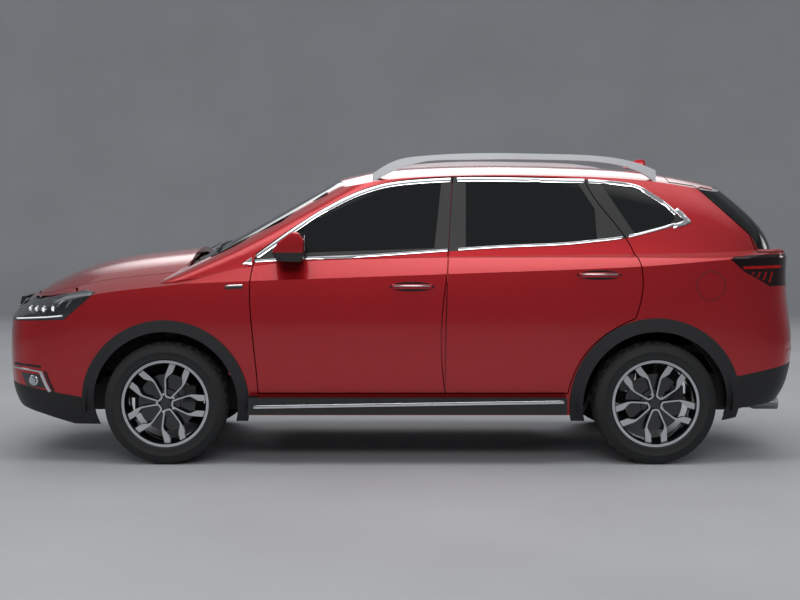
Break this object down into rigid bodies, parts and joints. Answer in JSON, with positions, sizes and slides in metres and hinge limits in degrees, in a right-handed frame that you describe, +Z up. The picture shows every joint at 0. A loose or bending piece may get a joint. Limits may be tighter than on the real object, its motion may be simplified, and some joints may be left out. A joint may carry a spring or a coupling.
{
  "type": "crossover suv",
  "caption": "Five-door family crossover with hinged doors, bonnet and tailgate, steered front wheels, roof rails and a furnished cabin.",
  "frame": {"origin": "on the ground under the middle of the car", "axes": "the nose points to -X, +Y is the right-hand side, +Z is up"},
  "size_m": [4.4948, 2.008, 1.7234],
  "materials": {
    "paint": "gloss",
    "glass": "clear, dark tint",
    "tail_lens": "gloss",
    "head_lens": "gloss",
    "chrome": "polished",
    "rail": "satin",
    "trim": "matt",
    "seat": "satin",
    "cabin": "matt",
    "tyre": "matt",
    "alloy": "machined faces on gloss black",
    "inner_steel": "satin",
    "chassis": "matt"
  },
  "bodies": {
    "body": {"arch_mouldings_front": "trim", "arch_mouldings_rear": "trim", "bulkhead": "inner_steel", "dashboard": "cabin", "engine_block": "chassis", "exhaust": "chassis", "floor_pan": "inner_steel", "front_bumper": "paint", "front_inner": "inner_steel", "front_subframe": "chassis", "grille": "chrome", "headlamps": "head_lens", "quarter_panel_left": "paint", "quarter_panel_right": "paint", "quarter_windows": "glass", "rear_axle": "chassis", "rear_bumper": "paint", "roof_panel": "paint", "roof_rails": "rail", "seat_front_left": "seat", "seat_front_right": "seat", "seat_rear": "seat", "side_frame_left": "paint", "side_frame_right": "paint", "side_steps": "trim", "tail_lamps": "tail_lens", "windscreen": "glass", "wing_left": "paint", "wing_right": "paint"},
    "bonnet": {"bonnet": "paint"},
    "tailgate": {"tailgate": "paint", "tailgate_glass": "glass", "tailgate_lamps": "tail_lens"},
    "steering_wheel": {"steering_wheel": "cabin"},
    "door_front_left": {"door_front_left": "paint", "glass_front_left": "glass", "mirror_left": "paint"},
    "wheel_front_left": {"tyre_front_left": "tyre", "wheel_front_left": "alloy"},
    "door_front_right": {"door_front_right": "paint", "glass_front_right": "glass", "mirror_right": "paint"},
    "wheel_front_right": {"tyre_front_right": "tyre", "wheel_front_right": "alloy"},
    "door_rear_left": {"door_rear_left": "paint", "glass_rear_left": "glass"},
    "wheel_rear_left": {"tyre_rear_left": "tyre", "wheel_rear_left": "alloy"},
    "door_rear_right": {"door_rear_right": "paint", "glass_rear_right": "glass"},
    "wheel_rear_right": {"tyre_rear_right": "tyre", "wheel_rear_right": "alloy"},
    "knuckle_left": {"knuckle_front_left": "chassis"},
    "knuckle_right": {"knuckle_front_right": "chassis"}
  },
  "joints": [
    {"name": "steer_left", "type": "hinge", "parent": "body", "child": "knuckle_left", "pos_m": [-1.31, -0.639, 0.338], "axis": [0, 0, 1], "range_deg": [-35, 35]},
    {"name": "steer_right", "type": "hinge", "parent": "body", "child": "knuckle_right", "pos_m": [-1.31, 0.639, 0.338], "axis": [0, 0, 1], "range_deg": [-35, 35]},
    {"name": "roll_front_left", "type": "hinge", "parent": "knuckle_left", "child": "wheel_front_left", "pos_m": [-1.31, -0.785, 0.338], "axis": [0, 1, 0], "continuous": true},
    {"name": "roll_front_right", "type": "hinge", "parent": "knuckle_right", "child": "wheel_front_right", "pos_m": [-1.31, 0.785, 0.338], "axis": [0, 1, 0], "continuous": true},
    {"name": "roll_rear_left", "type": "hinge", "parent": "body", "child": "wheel_rear_left", "pos_m": [1.39, -0.785, 0.338], "axis": [0, 1, 0], "continuous": true},
    {"name": "roll_rear_right", "type": "hinge", "parent": "body", "child": "wheel_rear_right", "pos_m": [1.39, 0.785, 0.338], "axis": [0, 1, 0], "continuous": true},
    {"name": "swing_front_left", "type": "hinge", "parent": "body", "child": "door_front_left", "pos_m": [-0.79, -0.912, 0.75], "axis": [0, 0, -1], "range_deg": [0, 65]},
    {"name": "swing_front_right", "type": "hinge", "parent": "body", "child": "door_front_right", "pos_m": [-0.79, 0.912, 0.75], "axis": [0, 0, 1], "range_deg": [0, 65]},
    {"name": "swing_rear_left", "type": "hinge", "parent": "body", "child": "door_rear_left", "pos_m": [0.262, -0.912, 0.75], "axis": [0, 0, -1], "range_deg": [0, 65]},
    {"name": "swing_rear_right", "type": "hinge", "parent": "body", "child": "door_rear_right", "pos_m": [0.262, 0.912, 0.75], "axis": [0, 0, 1], "range_deg": [0, 65]},
    {"name": "lift_bonnet", "type": "hinge", "parent": "body", "child": "bonnet", "pos_m": [-1.165, 0, 1.1], "axis": [0, 1, 0], "range_deg": [0, 50]},
    {"name": "lift_tailgate", "type": "hinge", "parent": "body", "child": "tailgate", "pos_m": [1.505, 0, 1.64], "axis": [0, -1, 0], "range_deg": [0, 78]},
    {"name": "turn_steering_wheel", "type": "hinge", "parent": "body", "child": "steering_wheel", "pos_m": [-0.43, -0.37, 0.94], "axis": [0.9063, 0, 0.4226], "range_deg": [-525, 525]}
  ],
  "couplings": [
    {"joint": "steer_right", "follows": "steer_left", "ratio": 1},
    {"joint": "turn_steering_wheel", "follows": "steer_left", "ratio": 15}
  ]
}
